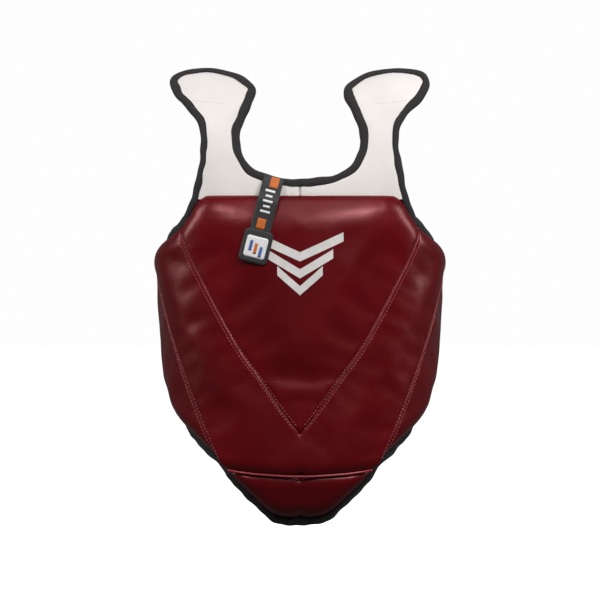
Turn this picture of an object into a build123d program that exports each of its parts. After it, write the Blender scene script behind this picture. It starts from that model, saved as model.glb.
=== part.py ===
from build123d import *

import math
import os
from functools import cache

# Padded trunk protector with a groin flap, for contact martial arts. Units are millimetres.
#
# Frame: the wearer faces -Y, +X is the wearer's left and +Z is up. The origin is the middle of the
# wearer's trunk, level with the middle of the side wings.
#
# Every padded piece is a slice of one trunk-shaped form. An offset is the distance outward from the
# wearer's side of the lining, so a layer is the space between two offsets, cut to its own outline.

# Trunk form: superellipse in plan, a quarter ellipse over the shoulders in profile
PLAN_POWER = 2.4
HALF_WIDTH = 158.0  # at z = 0, lining side
WIDTH_FLARE = 0.095  # half width gained per mm of height
HALF_DEPTH = 114.0
SHOULDER_START = 150.0  # height where the form starts to lean back
SHOULDER_RISE = 205.0  # from there up to the crest of the shoulder
SHOULDER_FLARE = 0.45
CREASE_Z = -190.0  # middle of the fold above the groin flap
FLAP_LEAN = 0.43  # the flap goes back this much per mm down
FORM_BOTTOM, FORM_TOP = -262.0, 349.0

# Layers
LINING = 1.2
SKIN = 1.4
PAD = 26.0  # body pads, lining included
FLAP_PAD = 19.0
YOKE_PAD = 8.4
BINDING_WIDTH = 9.5
BINDING_WALL = 1.0
SEAM_GAP = 0.4  # between pads of one body

# Joint places
SEAM_LOW = (107.0, -117.6, -168.0)  # three points of the side seam, on the cover
SEAM_MID = (153.0, -86.4, -55.0)
SEAM_HIGH = (184.2, -42.0, 51.0)
SEAM_HALF_GAP = 0.4
CAP_FOLD_Y, CAP_FOLD_Z = -82.0, 298.0  # the cap's fold on the outer face of the strap
CAP_LEAN = 44.0  # degrees, so that the fold is square to the strap
CAP_HALF_GAP = 0.4
FLAP_HALF_GAP = 0.3
WING_CREASE_GAP = 9.0  # the wing's low corner swings towards the flap
CREASE_RISE = 24.0  # degrees, upwards to the back

# Back of the protector
REAR_EDGE_X = 75.0  # the wings stop here, either side of the back
WEBBING = 2.4
HOOK_TAPE = 1.0
CLOSURE_Z = {"upper": 52.0, "lower": -30.0}
CLOSURE_WIDTH = 50.0
CLOSURE_INNER = PAD + 0.4
CLOSURE_OUTER = CLOSURE_INNER + WEBBING
CLOSURE_START_X = REAR_EDGE_X + 1.0
CLOSURE_FOLD_X = -20.0  # the tab starts here
CLOSURE_END_X = -70.0  # relaxed, the closures end short of the right wing

# Back straps, from under the caps down to the inside of the wings
STRAP_WIDTH = 38.0
STRAP_OFFSET = -3.5  # middle of the webbing
STRAP_CAP_X, STRAP_BACK_X = 116.0, 104.0
STRAP_TOP_ANGLE = 62.0  # degrees round the shoulder from the front
STRAP_FLAT_ANGLE = 95.0  # from here back the strap has its own, lower curve
STRAP_CURVE_START, STRAP_CURVE_RISE = 185.0, 145.0
STRAP_FLAT_LOW_Z = 105.0  # above this the strap is flat across, below it lies along the wing
STRAP_END_Z = 60.0
ANCHOR_Z = 311.5
ADJUSTER_Z = 146.0

REACH = 320.0  # further than any piece, for cutting prisms


# ---------------------------------------------------------------- form
def half_width(z, offset):
    """Half width of the form at height z."""
    low = min(z, SHOULDER_START)
    return HALF_WIDTH + WIDTH_FLARE * low + SHOULDER_FLARE * max(0.0, z - SHOULDER_START) + offset


def half_depth(z, offset):
    """Half depth of the form at height z."""
    depth = HALF_DEPTH + offset
    if z > SHOULDER_START:
        depth *= math.sqrt(1 - ((z - SHOULDER_START) / (SHOULDER_RISE + offset)) ** 2)
    return depth - FLAP_LEAN * max(0.0, CREASE_Z - z)


def plan_depth(x, width, depth):
    """Depth of a superellipse at x."""
    return depth * (1 - (abs(x) / width) ** PLAN_POWER) ** (1 / PLAN_POWER)


def section(z, offset, count=16):
    """The form's closed plan curve at height z, as a face."""
    width, depth = half_width(z, offset), half_depth(z, offset)
    points = []
    for i in range(count):
        c, s = math.cos(2 * math.pi * i / count), math.sin(2 * math.pi * i / count)
        x = width * math.copysign(abs(c) ** (2 / PLAN_POWER), c)
        y = depth * math.copysign(abs(s) ** (2 / PLAN_POWER), s)
        points.append((x, y, z))
    return Face(Wire([Spline(*points, periodic=True)]))


def form(offset, heights):
    """Solid form through the given heights."""
    return loft([section(z, offset) for z in heights])


BODY_HEIGHTS = (-215, -150, -60, 40, 110, 150, 190, 230, 270, 300, 325, FORM_TOP)
FLAP_HEIGHTS = (FORM_BOTTOM, CREASE_Z)
FLAP_TOP_HEIGHTS = (CREASE_Z, -160)


@cache
def body_form(offset):
    """The form without the lean of the flap, which starts below the crease."""
    sections = [section(max(z, CREASE_Z), offset) for z in BODY_HEIGHTS]
    sections[0] = sections[0].moved(Location((0, 0, BODY_HEIGHTS[0] - CREASE_Z)))
    return loft(sections)


@cache
def flap_form(offset):
    """The leaning form under the crease, with a straight stretch above it."""
    return form(offset, FLAP_HEIGHTS) + form(offset, FLAP_TOP_HEIGHTS)


@cache
def layer(inner, outer, shape=body_form):
    """The space between two offsets of the form."""
    return shape(outer) - shape(inner)


# ---------------------------------------------------------------- outlines
def flat(x, z, y=0.0):
    """A point of a front outline."""
    return (x, y, z)


def outline(*runs):
    """A closed outline: each run is a smooth curve through its points, and runs meet in corners."""
    edges = []
    for run in runs:
        points = [flat(x, z) for x, z in run]
        edges.append(Line(*points) if len(points) == 2 else Spline(*points))
    return Face(Wire(edges))


def front(face):
    """Prism of an outline over the front half."""
    return Solid.extrude(face, Vector(0, -REACH, 0))


def back(face):
    """Prism of an outline over the back half."""
    return Solid.extrude(face, Vector(0, REACH, 0))


def block(x0, x1, y0, y1, z0, z1):
    """Box between two corners."""
    centre = ((x0 + x1) / 2, (y0 + y1) / 2, (z0 + z1) / 2)
    return Pos(*centre) * Box(x1 - x0, y1 - y0, z1 - z0)


# Neckline, shoulder cap and armhole, wearer's left, from the middle of the neck outwards
NECK = [(0, 197.5), (46, 203.5), (68, 216), (79, 237), (79, 262), (67, 290)]
CAP = [(58.5, 310), (64, 322), (88, 335.5), (127, 341.5), (160, 337.5), (172.5, 325), (166, 306)]
ARMHOLE = [(140, 277.5), (131, 253), (134, 218), (144, 173), (160, 142), (174, 124)]
SIDE_TOP_Z, REAR_TOP_Z = 108.0, 98.0
SIDE_LOW_Z, REAR_LOW_Z = -80.0, -70.0
UPPER_LOW_Z = 60.0

# Edge of the pads inside the binding
PAD_TOP_Z = 176.5
PAD_ARMHOLE = [(132, PAD_TOP_Z), (140, 163), (148, 148), (158, 136), (171, 127), (184, 119), (200, 108)]
PAD_HEM = [(200, SIDE_LOW_Z), (177, -88), (165, -110), (139, -138), (119.5, -155.5), (105.5, -167.4), (98, -180)]
HEM = [(200, SIDE_LOW_Z - 7), (179, -93), (167, -110), (144, -139), (123.5, -160), (116, -170), (109, -181)]
V_TOP = (159.5, 135.0)
V_BEND = (103.0, 16.0)
V_TIP_Z = -133.5
V_TIP_HALF = 1.5
EMBLEM_Z = 92.0  # height of the middle chevron
EMBLEM_STEP = 22.0
EMBLEM_HALF_WIDTH, EMBLEM_TAPER = 54.0, 13.0
EMBLEM_BAR, EMBLEM_RISE = 12.0, 14.0  # width of a chevron's bars, and how far their ends rise
EMBLEM_FILM = 0.4


def mirrored_run(points):
    """A run of the other half, in reverse."""
    return [(-x, z) for x, z in reversed(points)]


def inset_run(points, amount):
    """A run moved to its right-hand side by amount."""
    moved = []
    for i, (x, z) in enumerate(points):
        before, after = points[max(i - 1, 0)], points[min(i + 1, len(points) - 1)]
        along_x, along_z = after[0] - before[0], after[1] - before[1]
        length = math.hypot(along_x, along_z)
        moved.append((x + amount * along_z / length, z - amount * along_x / length))
    return moved


def upper_outline(amount=0.0):
    """The thin upper part in front view, moved in by amount: yoke, straps and caps."""
    half = NECK[1:] + CAP + ARMHOLE
    run = inset_run(mirrored_run(half) + [NECK[0]] + half, amount)
    (start_x, start_z), (end_x, end_z) = run[0], run[-1]
    low_left, low_right = (end_x, UPPER_LOW_Z), (start_x, UPPER_LOW_Z)
    return outline(run, [run[-1], low_left], [low_left, low_right], [low_right, run[0]])


# ---------------------------------------------------------------- cutting planes
def seam_plane(side):
    """The side seam's plane. Its normal points into the wing. side is +1 for the wearer's left."""
    low, mid, high = (Vector(side * x, y, z) for x, y, z in (SEAM_LOW, SEAM_MID, SEAM_HIGH))
    normal = (mid - low).cross(high - low).normalized()
    if normal.Y < 0:
        normal = normal * -1
    return Plane(origin=mid, z_dir=normal)


def cap_plane():
    """The plane across both straps where the caps fold. Its normal points up into the caps."""
    lean = math.radians(CAP_LEAN)
    normal = (0, math.sin(lean), math.cos(lean))
    return Plane(origin=(0, CAP_FOLD_Y, CAP_FOLD_Z), x_dir=(1, 0, 0), z_dir=normal)


def crease_plane():
    """The plane of the groin flap's fold: lowest at the front, higher where the body curves back."""
    rise = math.radians(CREASE_RISE)
    front_y = -(HALF_DEPTH + PAD)
    return Plane(origin=(0, front_y, CREASE_Z), x_dir=(1, 0, 0), z_dir=(0, -math.sin(rise), math.cos(rise)))


def keep(shape, plane, distance, above=True):
    """The part of a shape beyond a plane moved by distance along its normal."""
    size = 4 * REACH
    slab = Pos(0, 0, size / 2 if above else -size / 2) * Box(size, size, size)
    return shape & (plane.offset(distance) * slab)


# ---------------------------------------------------------------- output
def save(name, shape):
    """Writes one node as its solids."""
    solids = [s for s in shape.solids() if s.volume > 2.0]
    export_step(Compound(children=solids) if len(solids) > 1 else solids[0], f"parts/{name}.step")


def only_side(shape, side, inner_x=0.0):
    """The part of a shape on one side of the middle."""
    x0, x1 = (inner_x, REACH) if side > 0 else (-REACH, -inner_x)
    return shape & block(x0, x1, -REACH, REACH, -REACH, 1.2 * REACH)


SIDES = {"left": 1, "right": -1}


# ---------------------------------------------------------------- pads
def pad_pieces(outer_prism, inner_prism, thickness, shape=body_form):
    """Cover (front skin and side walls) and foam core of one pad."""
    whole = layer(LINING, thickness, shape) & outer_prism
    foam = layer(LINING, thickness - SKIN, shape) & inner_prism
    return whole - foam, foam


def chest_outline(shrink=0.0):
    """V-shaped chest panel."""
    top = PAD_TOP_Z - shrink
    ax, az = V_TOP[0] - shrink, V_TOP[1] + shrink
    bx, bz = V_BEND[0] - shrink, V_BEND[1] + shrink
    tip = V_TIP_Z + 2 * shrink
    corner = PAD_ARMHOLE[0][0] - shrink
    side = [(x - shrink, z) for x, z in PAD_ARMHOLE[1:3]]
    right_arm = [(corner, top)] + side + [(ax, az)]
    right_v = [(ax, az), (bx, bz), (V_TIP_HALF, tip)]
    return outline(
        [(-corner, top), (corner, top)],
        right_arm,
        right_v,
        [(V_TIP_HALF, tip), (-V_TIP_HALF, tip)],
        mirrored_run(right_v),
        mirrored_run(right_arm),
    )


def midriff_outline(shrink=0.0):
    """Panel under the V, out past both side seams."""
    ax, az = V_TOP[0] + SEAM_GAP, V_TOP[1] - SEAM_GAP - shrink
    bx, bz = V_BEND[0] + SEAM_GAP / 2 + shrink, V_BEND[1] - SEAM_GAP - shrink
    tip = V_TIP_Z - SEAM_GAP - 2 * shrink
    v_line = [(V_TIP_HALF, tip), (bx, bz), (ax + shrink, az)]
    arm = [(ax + shrink, az)] + [(x, z - shrink) for x, z in PAD_ARMHOLE[4:]]
    hem = [(x, z + shrink) for x, z in PAD_HEM]
    crease = [(98, PAD_HEM[-1][1] + shrink), (60, -186 + shrink), (0, -189.2 + shrink)]
    return outline(
        v_line,
        arm,
        [arm[-1], hem[0]],
        hem,
        crease + mirrored_run(crease)[1:],
        mirrored_run(hem),
        [(-hem[0][0], hem[0][1]), (-arm[-1][0], arm[-1][1])],
        mirrored_run(arm),
        mirrored_run(v_line),
        [(-V_TIP_HALF, tip), (V_TIP_HALF, tip)],
    )


def wing_prism(side, shrink=0.0, hem_drop=0.0):
    """Space of one wing: its front outline before y = 0 and its back outline behind it."""
    arm = [(x, z - shrink) for x, z in PAD_ARMHOLE[3:]]
    hem_points = HEM if hem_drop else PAD_HEM
    hem = [(x, z + shrink) for x, z in hem_points]
    front_face = outline(
        arm, [arm[-1], hem[0]], hem, [hem[-1], (60, hem[-1][1])], [(60, hem[-1][1]), (60, arm[0][1])],
        [(60, arm[0][1]), arm[0]],
    )
    rear = REAR_EDGE_X + shrink
    top_side, top_rear = SIDE_TOP_Z - shrink, REAR_TOP_Z - shrink
    low_side, low_rear = SIDE_LOW_Z - hem_drop + shrink, REAR_LOW_Z - hem_drop + shrink
    corners = [(200, low_side), (200, top_side), (rear, top_rear), (rear, low_rear)]
    back_face = Face(Wire.make_polygon([flat(x, z) for x, z in corners], close=True))
    rear_corners = [v for v in back_face.vertices() if abs(v.X - rear) < 0.01]
    back_face = back_face.fillet_2d(18.0 - shrink, rear_corners)
    prism = front(front_face) + back(back_face)
    return prism if side > 0 else prism.mirror(Plane.YZ)


def flap_outline(grow=0.0, binding=False):
    """Groin flap in front view, up past the crease."""
    if binding:
        edge = [(109, -181), (90.5, -201.5), (71, -222), (46, -243), (27, -252.5)]
        low = -253.5
    else:
        edge = [(97, -181), (81, -198), (59, -219), (38, -237), (24, -242.5)]
        low = -243.5
    edge = [(x + grow, z - grow) for x, z in edge]
    bottom = [edge[-1], (0, low - grow), (-edge[-1][0], edge[-1][1])]
    left_edge = [(-x, z) for x, z in reversed(edge)]
    top = -165.0
    return outline(
        edge,
        bottom,
        left_edge,
        [left_edge[-1], (left_edge[-1][0], top)],
        [(left_edge[-1][0], top), (edge[0][0], top)],
        [(edge[0][0], top), edge[0]],
    )


# ---------------------------------------------------------------- assemblies
def front_lining_outline():
    """Outline of the front lining behind the pads, down past the crease."""
    hem = [(x, z + BINDING_WALL) for x, z in HEM]
    low = [hem[-1], (0, CREASE_Z - 15)]
    side = [PAD_ARMHOLE[-1], hem[0]]
    top = [(-PAD_ARMHOLE[0][0], PAD_TOP_Z), (PAD_ARMHOLE[0][0], PAD_TOP_Z)]
    return outline(
        PAD_ARMHOLE, side, hem, low, mirrored_run(low), mirrored_run(hem), mirrored_run(side),
        mirrored_run(PAD_ARMHOLE), top,
    )


def build_front():
    """Chest, midriff, yoke, bindings and lining: all that stays with the chest."""
    cap, crease = cap_plane(), crease_plane()
    seams = {side: seam_plane(side) for side in SIDES.values()}

    def between_seams(shape, gap):
        for plane in seams.values():
            shape = keep(shape, plane, -gap, above=False)
        return shape

    cover, foam = pad_pieces(front(chest_outline()), front(chest_outline(SKIN)), PAD)
    save("chest_cover", cover)
    save("chest_foam", foam)

    outer, inner = front(midriff_outline()), front(midriff_outline(SKIN))
    outer = keep(between_seams(outer, SEAM_HALF_GAP), crease, FLAP_HALF_GAP + 2.0)
    inner = keep(between_seams(inner, SEAM_HALF_GAP + SKIN), crease, FLAP_HALF_GAP + 2.0 + SKIN)
    cover, foam = pad_pieces(outer, inner, PAD)
    save("midriff_cover", cover)
    save("midriff_foam", foam)

    upper = upper_outline()
    upper_inner = upper_outline(BINDING_WIDTH)
    upper_edge = upper_outline(BINDING_WALL)
    above_pads = block(-REACH, REACH, -REACH, 0, PAD_TOP_Z + SEAM_GAP, 1.2 * REACH)
    yoke_space = keep(front(upper_inner) & above_pads, cap, -CAP_HALF_GAP, above=False)
    yoke_cover = layer(YOKE_PAD - SKIN, YOKE_PAD) & yoke_space
    yoke_foam = layer(LINING, YOKE_PAD - SKIN) & yoke_space
    for name, side in SIDES.items():
        save(f"yoke_cover_{name}", only_side(yoke_cover, side, SEAM_GAP / 2))
        save(f"yoke_foam_{name}", only_side(yoke_foam, side, SEAM_GAP / 2))

    above_top_edge = block(-REACH, REACH, -REACH, 0, PAD_TOP_Z - 1, 1.2 * REACH)
    lining_prism = front(front_lining_outline()) + (front(upper_outline(BINDING_WALL)) & above_top_edge)
    lining_prism = keep(lining_prism, cap, -CAP_HALF_GAP, above=False)
    lining_prism = keep(between_seams(lining_prism, SEAM_HALF_GAP), crease, FLAP_HALF_GAP)
    lining = layer(0, LINING) & lining_prism
    save("front_lining", lining)

    rim = front(upper) - front(upper_inner)
    rim = rim & block(-REACH, REACH, -REACH, 0, 122, 1.2 * REACH)
    rim = keep(between_seams(rim, SEAM_HALF_GAP), cap, -CAP_HALF_GAP, above=False)
    binding = (layer(-BINDING_WALL, YOKE_PAD + BINDING_WALL) & rim) - lining
    neck_zone = block(-100, 100, -REACH, 0, PAD_TOP_Z, 1.2 * REACH)
    neck = binding & neck_zone
    save("neck_binding", neck)
    for name, side in SIDES.items():
        strip = only_side(binding - neck_zone, side)
        strip = strip - front(chest_outline(-SEAM_GAP)) - front(midriff_outline(-SEAM_GAP))
        pads_space = block(-V_TOP[0] - 30, V_TOP[0] + 30, -REACH, 0, 100, PAD_TOP_Z)
        below = (strip & pads_space) & layer(-BINDING_WALL, LINING + 3.0)
        strip = (strip - pads_space) + below
        save(f"armhole_binding_{name}", strip)

    path_points = [(-94, -181.5), (-55, -186.5), (0, -188.9), (55, -186.5), (94, -181.5)]
    save("crease_piping", crease_piping(path_points))
    save("chest_emblem", chest_emblem())
    return crease


def crease_piping(points):
    """Round cord in the fold above the groin flap."""
    offset = PAD - 5.0
    placed = []
    for x, z in points:
        placed.append((x, -plan_depth(x, half_width(z, offset), half_depth(z, offset)), z))
    path = Spline(*placed)
    start = Plane(origin=path @ 0, z_dir=path % 0)
    return sweep(start * Circle(1.5), path=path)


def chest_emblem():
    """Thin printed film on the chest: three chevrons, each narrower than the one above."""
    pieces = []
    for step in range(3):
        z = EMBLEM_Z + EMBLEM_STEP * (1 - step)
        half = EMBLEM_HALF_WIDTH - EMBLEM_TAPER * step
        points = [(0, z - EMBLEM_BAR), (half, z + EMBLEM_RISE), (half, z + EMBLEM_RISE - EMBLEM_BAR),
                  (0, z - 2 * EMBLEM_BAR)]
        points += [(-x, height) for x, height in points[2:0:-1]]
        pieces.append(front(Face(Wire.make_polygon([flat(*p) for p in points], close=True))))
    film = layer(PAD, PAD + EMBLEM_FILM)
    return Compound(children=[(film & piece).solids()[0] for piece in pieces])


def build_flap(crease):
    """Groin flap: everything below the crease."""
    def below(face, gap):
        return keep(front(face), crease, -gap, above=False)

    outer = below(flap_outline(), FLAP_HALF_GAP + 2.0)
    inner = below(flap_outline(-SKIN), FLAP_HALF_GAP + 2.0 + SKIN)
    cover, foam = pad_pieces(outer, inner, FLAP_PAD, flap_form)
    save("groin_cover", cover)
    save("groin_foam", foam)
    lining = layer(0, LINING, flap_form) & below(flap_outline(-BINDING_WALL, binding=True), FLAP_HALF_GAP)
    save("groin_lining", lining)
    rim = below(flap_outline(binding=True), FLAP_HALF_GAP) - front(flap_outline())
    save("groin_binding", (layer(-BINDING_WALL, LINING + 3.0, flap_form) & rim) - lining)


def build_wing(name, side, crease):
    """One side wing, from the side seam round to the back."""
    seam = seam_plane(side)

    def behind_seam(prism, gap):
        return keep(keep(prism, seam, gap), crease, WING_CREASE_GAP)

    outer = behind_seam(wing_prism(side), SEAM_HALF_GAP)
    inner = behind_seam(wing_prism(side, SKIN), SEAM_HALF_GAP + SKIN)
    cover, foam = pad_pieces(outer, inner, PAD)
    save(f"wing_cover_{name}", cover)
    save(f"wing_foam_{name}", foam)
    full = behind_seam(wing_prism(side, 0.0, 7.0), SEAM_HALF_GAP)
    edge = behind_seam(wing_prism(side, BINDING_WALL, 7.0), SEAM_HALF_GAP)
    lining = layer(0, LINING) & edge
    save(f"wing_lining_{name}", lining)
    rim = full - outer
    binding = (layer(-BINDING_WALL, LINING + 3.0) & rim) - lining
    low = binding & block(-REACH, REACH, -REACH, REACH, -REACH, 0)
    save(f"wing_binding_{name}", low)


def wing_patch(x0, x1, z0, z1, inner, outer, radius=3.0):
    """A flat piece lying on the back of a wing, between two offsets."""
    plate = Pos((x0 + x1) / 2, (z0 + z1) / 2) * RectangleRounded(x1 - x0, z1 - z0, radius)
    face = Plane.XZ * plate
    return layer(inner, outer) & back(face.face())


def build_closures():
    """Two elastic straps across the back, sewn to the left wing, with a hook tab for the right one."""
    for name, z in CLOSURE_Z.items():
        low, high = z - CLOSURE_WIDTH / 2, z + CLOSURE_WIDTH / 2
        anchor_outer = CLOSURE_OUTER + 1.0
        anchor = wing_patch(CLOSURE_START_X + 2, CLOSURE_START_X + 37, low - 4, high + 4, PAD, anchor_outer)
        save(f"closure_anchor_{name}", anchor)
        strap = wing_patch(CLOSURE_FOLD_X, CLOSURE_START_X, low, high, CLOSURE_INNER, CLOSURE_OUTER, 0.5)
        save(f"closure_strap_{name}", strap)
        tab_start = CLOSURE_FOLD_X - 1.0
        tab = wing_patch(CLOSURE_END_X, tab_start, low, high, CLOSURE_INNER, CLOSURE_OUTER, 6.0)
        save(f"closure_tab_{name}", tab)
        hook_inner = CLOSURE_INNER - HOOK_TAPE
        hook = wing_patch(CLOSURE_END_X + 6, tab_start - 4, low + 4, high - 4, hook_inner, CLOSURE_INNER)
        save(f"closure_hook_{name}", hook)
        loop = wing_patch(-REAR_EDGE_X - 72, -REAR_EDGE_X - 6, low - 3, high + 3, PAD, PAD + HOOK_TAPE)
        save(f"closure_loop_{name}", loop)


# ---------------------------------------------------------------- shoulder caps and back straps
def ease(share):
    """Smooth step from 0 to 1."""
    share = min(1.0, max(0.0, share))
    return share * share * (3 - 2 * share)


def strap_point(angle, side):
    """Point and width direction of the back strap at an angle round the shoulder."""
    share = ease((angle - STRAP_TOP_ANGLE) / (STRAP_FLAT_ANGLE - STRAP_TOP_ANGLE))
    start = SHOULDER_START + (STRAP_CURVE_START - SHOULDER_START) * share
    rise = SHOULDER_RISE + STRAP_OFFSET
    rise += (STRAP_CURVE_RISE - rise) * share
    turn = math.radians(angle)
    z = start + rise * math.sin(turn)
    x = STRAP_CAP_X + (STRAP_BACK_X - STRAP_CAP_X) * ease((angle - STRAP_TOP_ANGLE) / (180 - STRAP_TOP_ANGLE))
    width = half_width(min(z, SHOULDER_START), STRAP_OFFSET) if angle > 90 else half_width(z, STRAP_OFFSET)
    depth = -(HALF_DEPTH + STRAP_OFFSET) * math.cos(turn)
    slope = (plan_depth(x + 1, width, 1.0) - plan_depth(x - 1, width, 1.0)) / 2
    across = Vector(1, side * depth * slope, 0).normalized()
    return Vector(side * x, depth * plan_depth(x, width, 1.0), z), across


def strap_section(angle, side):
    """The strap's cross section at an angle round the shoulder."""
    point, across = strap_point(angle, side)
    along = strap_point(angle + 0.5, side)[0] - strap_point(angle - 0.5, side)[0]
    plane = Plane(origin=point, x_dir=across, z_dir=along.normalized())
    return plane * Rectangle(STRAP_WIDTH, WEBBING).face()


def strap_flat_plane(side, z):
    """Level plane on the strap's flat upright stretch, its x axis across the strap."""
    point, across = strap_point(180.0, side)
    return Plane(origin=(point.X, point.Y, z), x_dir=across, z_dir=(0, 0, 1))


def strap_patch(side, width, z0, z1, inner, outer):
    """A piece lying along the inside of the wing at the strap's place."""
    face = Plane.XZ * (Pos(side * STRAP_BACK_X, (z0 + z1) / 2) * Rectangle(width, z1 - z0))
    return layer(inner, outer) & back(face.face())


def build_cap(name, side):
    """Shoulder cap: the flared end of the front strap, above the fold."""
    cap = cap_plane()
    upper = upper_outline()
    space = keep(only_side(front(upper), side), cap, CAP_HALF_GAP)
    inner = keep(only_side(front(upper_outline(BINDING_WIDTH)), side), cap, CAP_HALF_GAP)
    edge = keep(only_side(front(upper_outline(BINDING_WALL)), side), cap, CAP_HALF_GAP)
    save(f"cap_cover_{name}", layer(YOKE_PAD - SKIN, YOKE_PAD) & inner)
    save(f"cap_foam_{name}", layer(LINING, YOKE_PAD - SKIN) & inner)
    lining = layer(0, LINING) & edge
    save(f"cap_lining_{name}", lining)
    save(f"cap_binding_{name}", (layer(-BINDING_WALL, YOKE_PAD + BINDING_WALL) & (space - inner)) - lining)
    anchor_face = Plane.XZ * (Pos(side * STRAP_CAP_X, ANCHOR_Z) * Rectangle(STRAP_WIDTH + 8, 26))
    anchor_inner = STRAP_OFFSET - WEBBING / 2
    save(f"strap_anchor_{name}", layer(anchor_inner, 0) & front(anchor_face.face()))


def build_back_strap(name, side):
    """Elastic strap from under the cap, over the shoulder and down inside the wing's back."""
    angles = [STRAP_TOP_ANGLE, 67, 72, 78, 86, 95, 106, 118, 132, 148, 164, 180]
    curve = loft([strap_section(angle, side) for angle in angles])
    plane = strap_flat_plane(side, STRAP_FLAT_LOW_Z)
    length = STRAP_CURVE_START - STRAP_FLAT_LOW_Z
    upright = Solid.extrude((plane * Rectangle(STRAP_WIDTH, WEBBING)).face(), Vector(0, 0, length))
    inner, outer = STRAP_OFFSET - WEBBING / 2, STRAP_OFFSET + WEBBING / 2
    tail = strap_patch(side, STRAP_WIDTH - 2, STRAP_END_Z, STRAP_FLAT_LOW_Z + 3, inner, outer)
    save(f"back_strap_{name}", curve + upright + tail)
    hook = strap_patch(side, STRAP_WIDTH - 6, STRAP_END_Z + 3, 94, outer, outer + HOOK_TAPE)
    save(f"back_strap_hook_{name}", hook)
    loop = strap_patch(side, STRAP_WIDTH + 6, STRAP_END_Z - 16, 96, -HOOK_TAPE, 0)
    save(f"back_strap_loop_{name}", loop)


def build_adjuster(name, side):
    """Three-bar slide on the back strap: two bars outside the webbing and one inside."""
    clear = 0.5
    bar = 2.2
    height = 24.0
    rail_x = STRAP_WIDTH / 2 + clear + bar / 2
    face_y = WEBBING / 2 + clear + bar / 2
    length = 2 * rail_x + bar
    pieces = []
    for end in (-1, 1):
        pieces.append(Pos(end * rail_x, 0, 0) * Box(bar, 2 * face_y + bar, height))
        pieces.append(Pos(0, face_y, end * (height - 4) / 2) * Box(length, bar, 4))
    pieces.append(Pos(0, -face_y, 0) * Box(length, bar, 4.5))
    save(f"adjuster_{name}", strap_flat_plane(side, ADJUSTER_Z) * pieces[0].fuse(*pieces[1:]))


# ---------------------------------------------------------------- ribbon tag
TAG_TOP = (-33.5, 200.5)  # middle of the ribbon where it leaves the neckline, in front view
TAG_LEAN = 14.5  # degrees off upright, bottom towards the wearer's right
TAG_TOP_Y = -(HALF_DEPTH + YOKE_PAD + BINDING_WALL + 1.3)
TAG_HANG_Y = -(HALF_DEPTH + PAD + 1.2)
RIBBON_WIDTH, RIBBON_LENGTH, RIBBON_BEND = 27.0, 74.0, 21.0
RIBBON_THICK, BADGE_THICK = 1.0, 1.6
BADGE_WIDTH, BADGE_LENGTH, PATCH_SIZE = 38.0, 42.0, 29.0


def build_tag():
    """Woven ribbon that hangs from the neckline over the chest pad, with a badge at its end."""
    place = Pos(TAG_TOP[0], 0, TAG_TOP[1]) * Rot(0, TAG_LEAN, 0)
    half = RIBBON_THICK / 2
    path = [(TAG_TOP_Y, 0), (TAG_HANG_Y, -RIBBON_BEND), (TAG_HANG_Y, -RIBBON_LENGTH)]
    corners = [(y - half, z) for y, z in path] + [(y + half, z) for y, z in reversed(path)]
    side_face = Face(Wire.make_polygon([(-RIBBON_WIDTH / 2, y, z) for y, z in corners], close=True))
    save("tag_ribbon", place * Solid.extrude(side_face, Vector(RIBBON_WIDTH, 0, 0)))
    badge_z = -RIBBON_LENGTH - BADGE_LENGTH / 2
    save("tag_badge", place * (Pos(0, TAG_HANG_Y, badge_z) * Box(BADGE_WIDTH, BADGE_THICK, BADGE_LENGTH)))
    patch_y = TAG_HANG_Y - BADGE_THICK / 2 - 0.2
    save("tag_patch", place * (Pos(0, patch_y, badge_z) * Box(PATCH_SIZE, 0.4, PATCH_SIZE)))


def main():
    os.makedirs("parts", exist_ok=True)
    crease = build_front()
    build_flap(crease)
    build_closures()
    for name, side in SIDES.items():
        build_wing(name, side, crease)
        build_cap(name, side)
        build_back_strap(name, side)
        build_adjuster(name, side)
    build_tag()


main()
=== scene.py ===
import math

import bmesh
import bpy
import numpy as np
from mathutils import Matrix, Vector
from mathutils.bvhtree import BVHTree
from mathutils.geometry import delaunay_2d_cdt


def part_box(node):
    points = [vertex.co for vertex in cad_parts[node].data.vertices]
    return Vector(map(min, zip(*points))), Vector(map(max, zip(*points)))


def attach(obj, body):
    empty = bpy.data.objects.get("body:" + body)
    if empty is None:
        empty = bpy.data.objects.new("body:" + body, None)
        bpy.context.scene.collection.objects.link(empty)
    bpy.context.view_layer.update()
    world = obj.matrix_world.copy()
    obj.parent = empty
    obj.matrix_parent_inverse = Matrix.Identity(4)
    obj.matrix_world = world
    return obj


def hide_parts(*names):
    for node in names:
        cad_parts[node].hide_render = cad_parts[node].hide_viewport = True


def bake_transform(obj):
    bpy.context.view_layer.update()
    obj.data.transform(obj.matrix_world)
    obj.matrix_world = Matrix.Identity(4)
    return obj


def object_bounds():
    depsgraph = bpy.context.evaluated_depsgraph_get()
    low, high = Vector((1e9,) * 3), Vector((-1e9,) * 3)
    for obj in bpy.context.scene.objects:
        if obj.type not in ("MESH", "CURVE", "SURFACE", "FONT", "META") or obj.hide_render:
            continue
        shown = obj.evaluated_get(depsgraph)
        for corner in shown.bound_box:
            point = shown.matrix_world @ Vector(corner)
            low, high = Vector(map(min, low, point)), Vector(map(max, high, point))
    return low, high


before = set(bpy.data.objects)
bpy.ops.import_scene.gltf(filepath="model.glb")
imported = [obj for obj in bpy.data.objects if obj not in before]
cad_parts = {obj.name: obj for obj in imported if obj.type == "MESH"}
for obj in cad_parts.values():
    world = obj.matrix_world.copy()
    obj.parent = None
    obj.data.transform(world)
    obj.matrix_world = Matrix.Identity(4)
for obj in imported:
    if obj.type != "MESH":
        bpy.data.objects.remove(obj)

CAD_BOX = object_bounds()
MM = 0.001

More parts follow.
